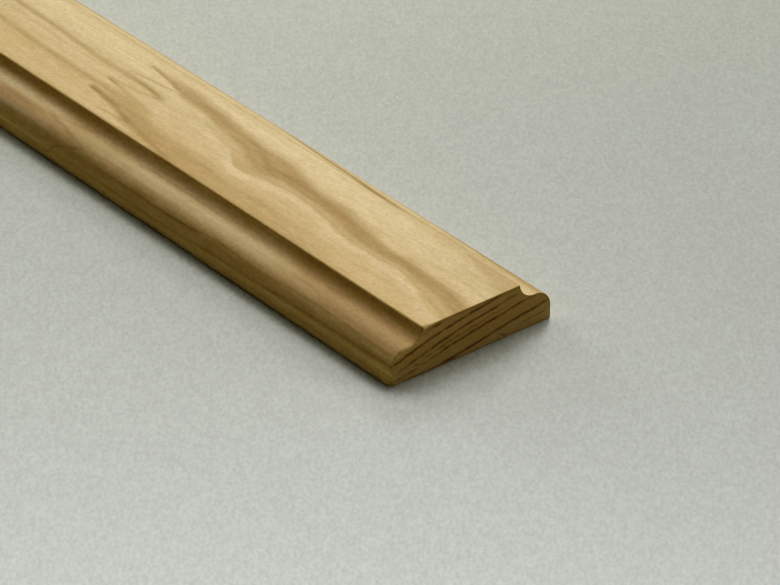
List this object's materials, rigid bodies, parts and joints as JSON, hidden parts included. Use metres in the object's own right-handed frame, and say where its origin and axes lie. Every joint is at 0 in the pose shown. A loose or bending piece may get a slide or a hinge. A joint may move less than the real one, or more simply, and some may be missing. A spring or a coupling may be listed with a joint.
{
  "type": "cover moulding",
  "caption": "Length of planed softwood cover moulding: flat back, raised flat face, coved and rounded long edges, for covering joints and gaps.",
  "frame": {"origin": "middle of the flat back, halfway along the length", "axes": "+X along the length, +Y across the width, +Z out of the back towards the raised flat"},
  "size_m": [2.4, 0.04, 0.0105],
  "materials": {
    "pine": "bare planed softwood, matte, clear growth rings, sawn ends"
  },
  "bodies": {
    "root": {"moulding": "pine"}
  },
  "joints": []
}
